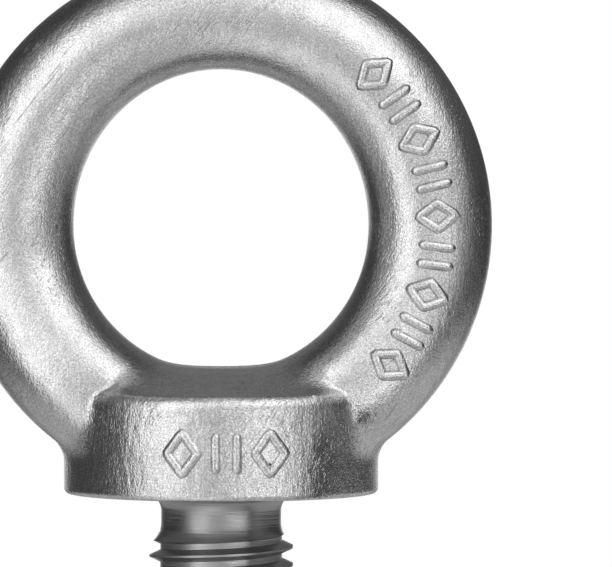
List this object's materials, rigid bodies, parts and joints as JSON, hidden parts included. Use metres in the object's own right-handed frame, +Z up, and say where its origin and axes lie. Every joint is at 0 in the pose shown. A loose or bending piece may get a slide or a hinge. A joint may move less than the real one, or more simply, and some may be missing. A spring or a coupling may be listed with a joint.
{
  "type": "lifting eye bolt",
  "caption": "Forged lifting eye bolt: a round ring on flared legs over a round collar, with a relieved neck and a threaded shank below the flat seat.",
  "frame": {"origin": "centre of the collar's flat seat, on the shank's axis", "axes": "+Z up the shank's axis to the ring's crown, +Y through the eye, +X across the ring"},
  "size_m": [0.0903, 0.0524, 0.1256],
  "materials": {
    "zinc_plated_steel": "satin, fine-grained forged skin under zinc plate, turned on the seat and the shank"
  },
  "bodies": {
    "root": {"eye_bolt": "zinc_plated_steel"}
  },
  "joints": []
}
